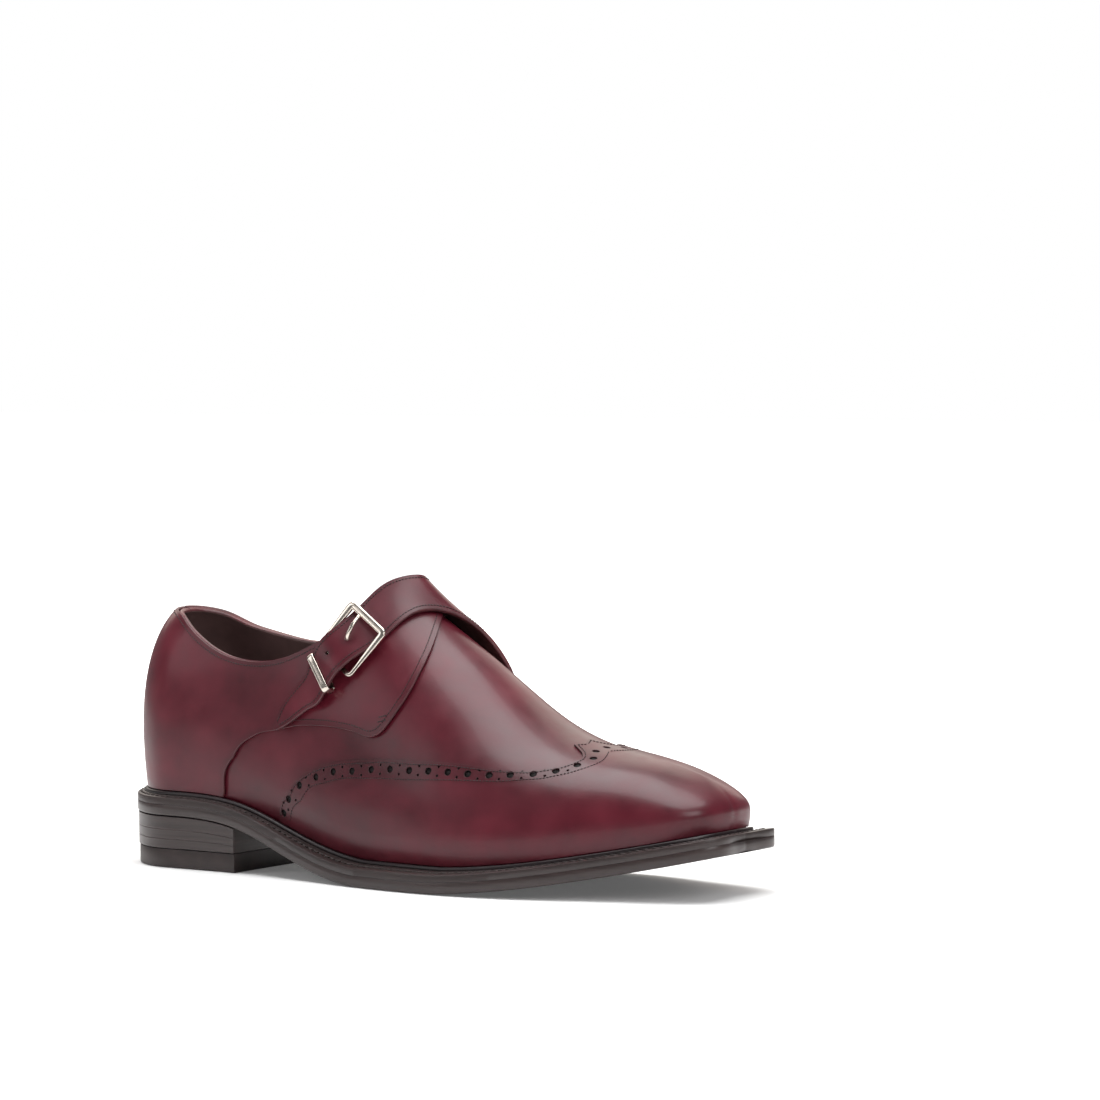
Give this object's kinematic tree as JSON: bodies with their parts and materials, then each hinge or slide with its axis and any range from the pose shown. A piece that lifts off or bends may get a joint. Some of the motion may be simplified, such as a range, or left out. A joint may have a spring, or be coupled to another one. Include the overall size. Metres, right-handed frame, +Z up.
{
  "type": "monk strap shoe",
  "caption": "Right monk strap dress shoe: wing cap upper, buckled strap over the instep, raised welt, low stacked heel and a chisel toe.",
  "frame": {"origin": "bottom centre of the box, on the ground", "axes": "+X to the toe, +Y to the inner (medial) side, -Y to the outer side with the buckle, +Z up"},
  "size_m": [0.3055, 0.106, 0.126],
  "materials": {
    "upper_leather": "burnished burgundy calf, satin gloss",
    "buckle_metal": "polished nickel",
    "insole_leather": "matt",
    "welt_leather": "dark, satin",
    "sole_leather": "dark edge dressing, satin",
    "top_lift_rubber": "matt"
  },
  "bodies": {
    "root": {"upper": "upper_leather", "lateral_quarter": "upper_leather", "medial_quarter_strap": "upper_leather", "buckle_frame": "buckle_metal", "buckle_prong": "buckle_metal", "strap_keeper": "buckle_metal", "insole": "insole_leather", "welt": "welt_leather", "outsole": "sole_leather", "heel_block": "sole_leather", "top_lift": "top_lift_rubber"}
  },
  "joints": []
}
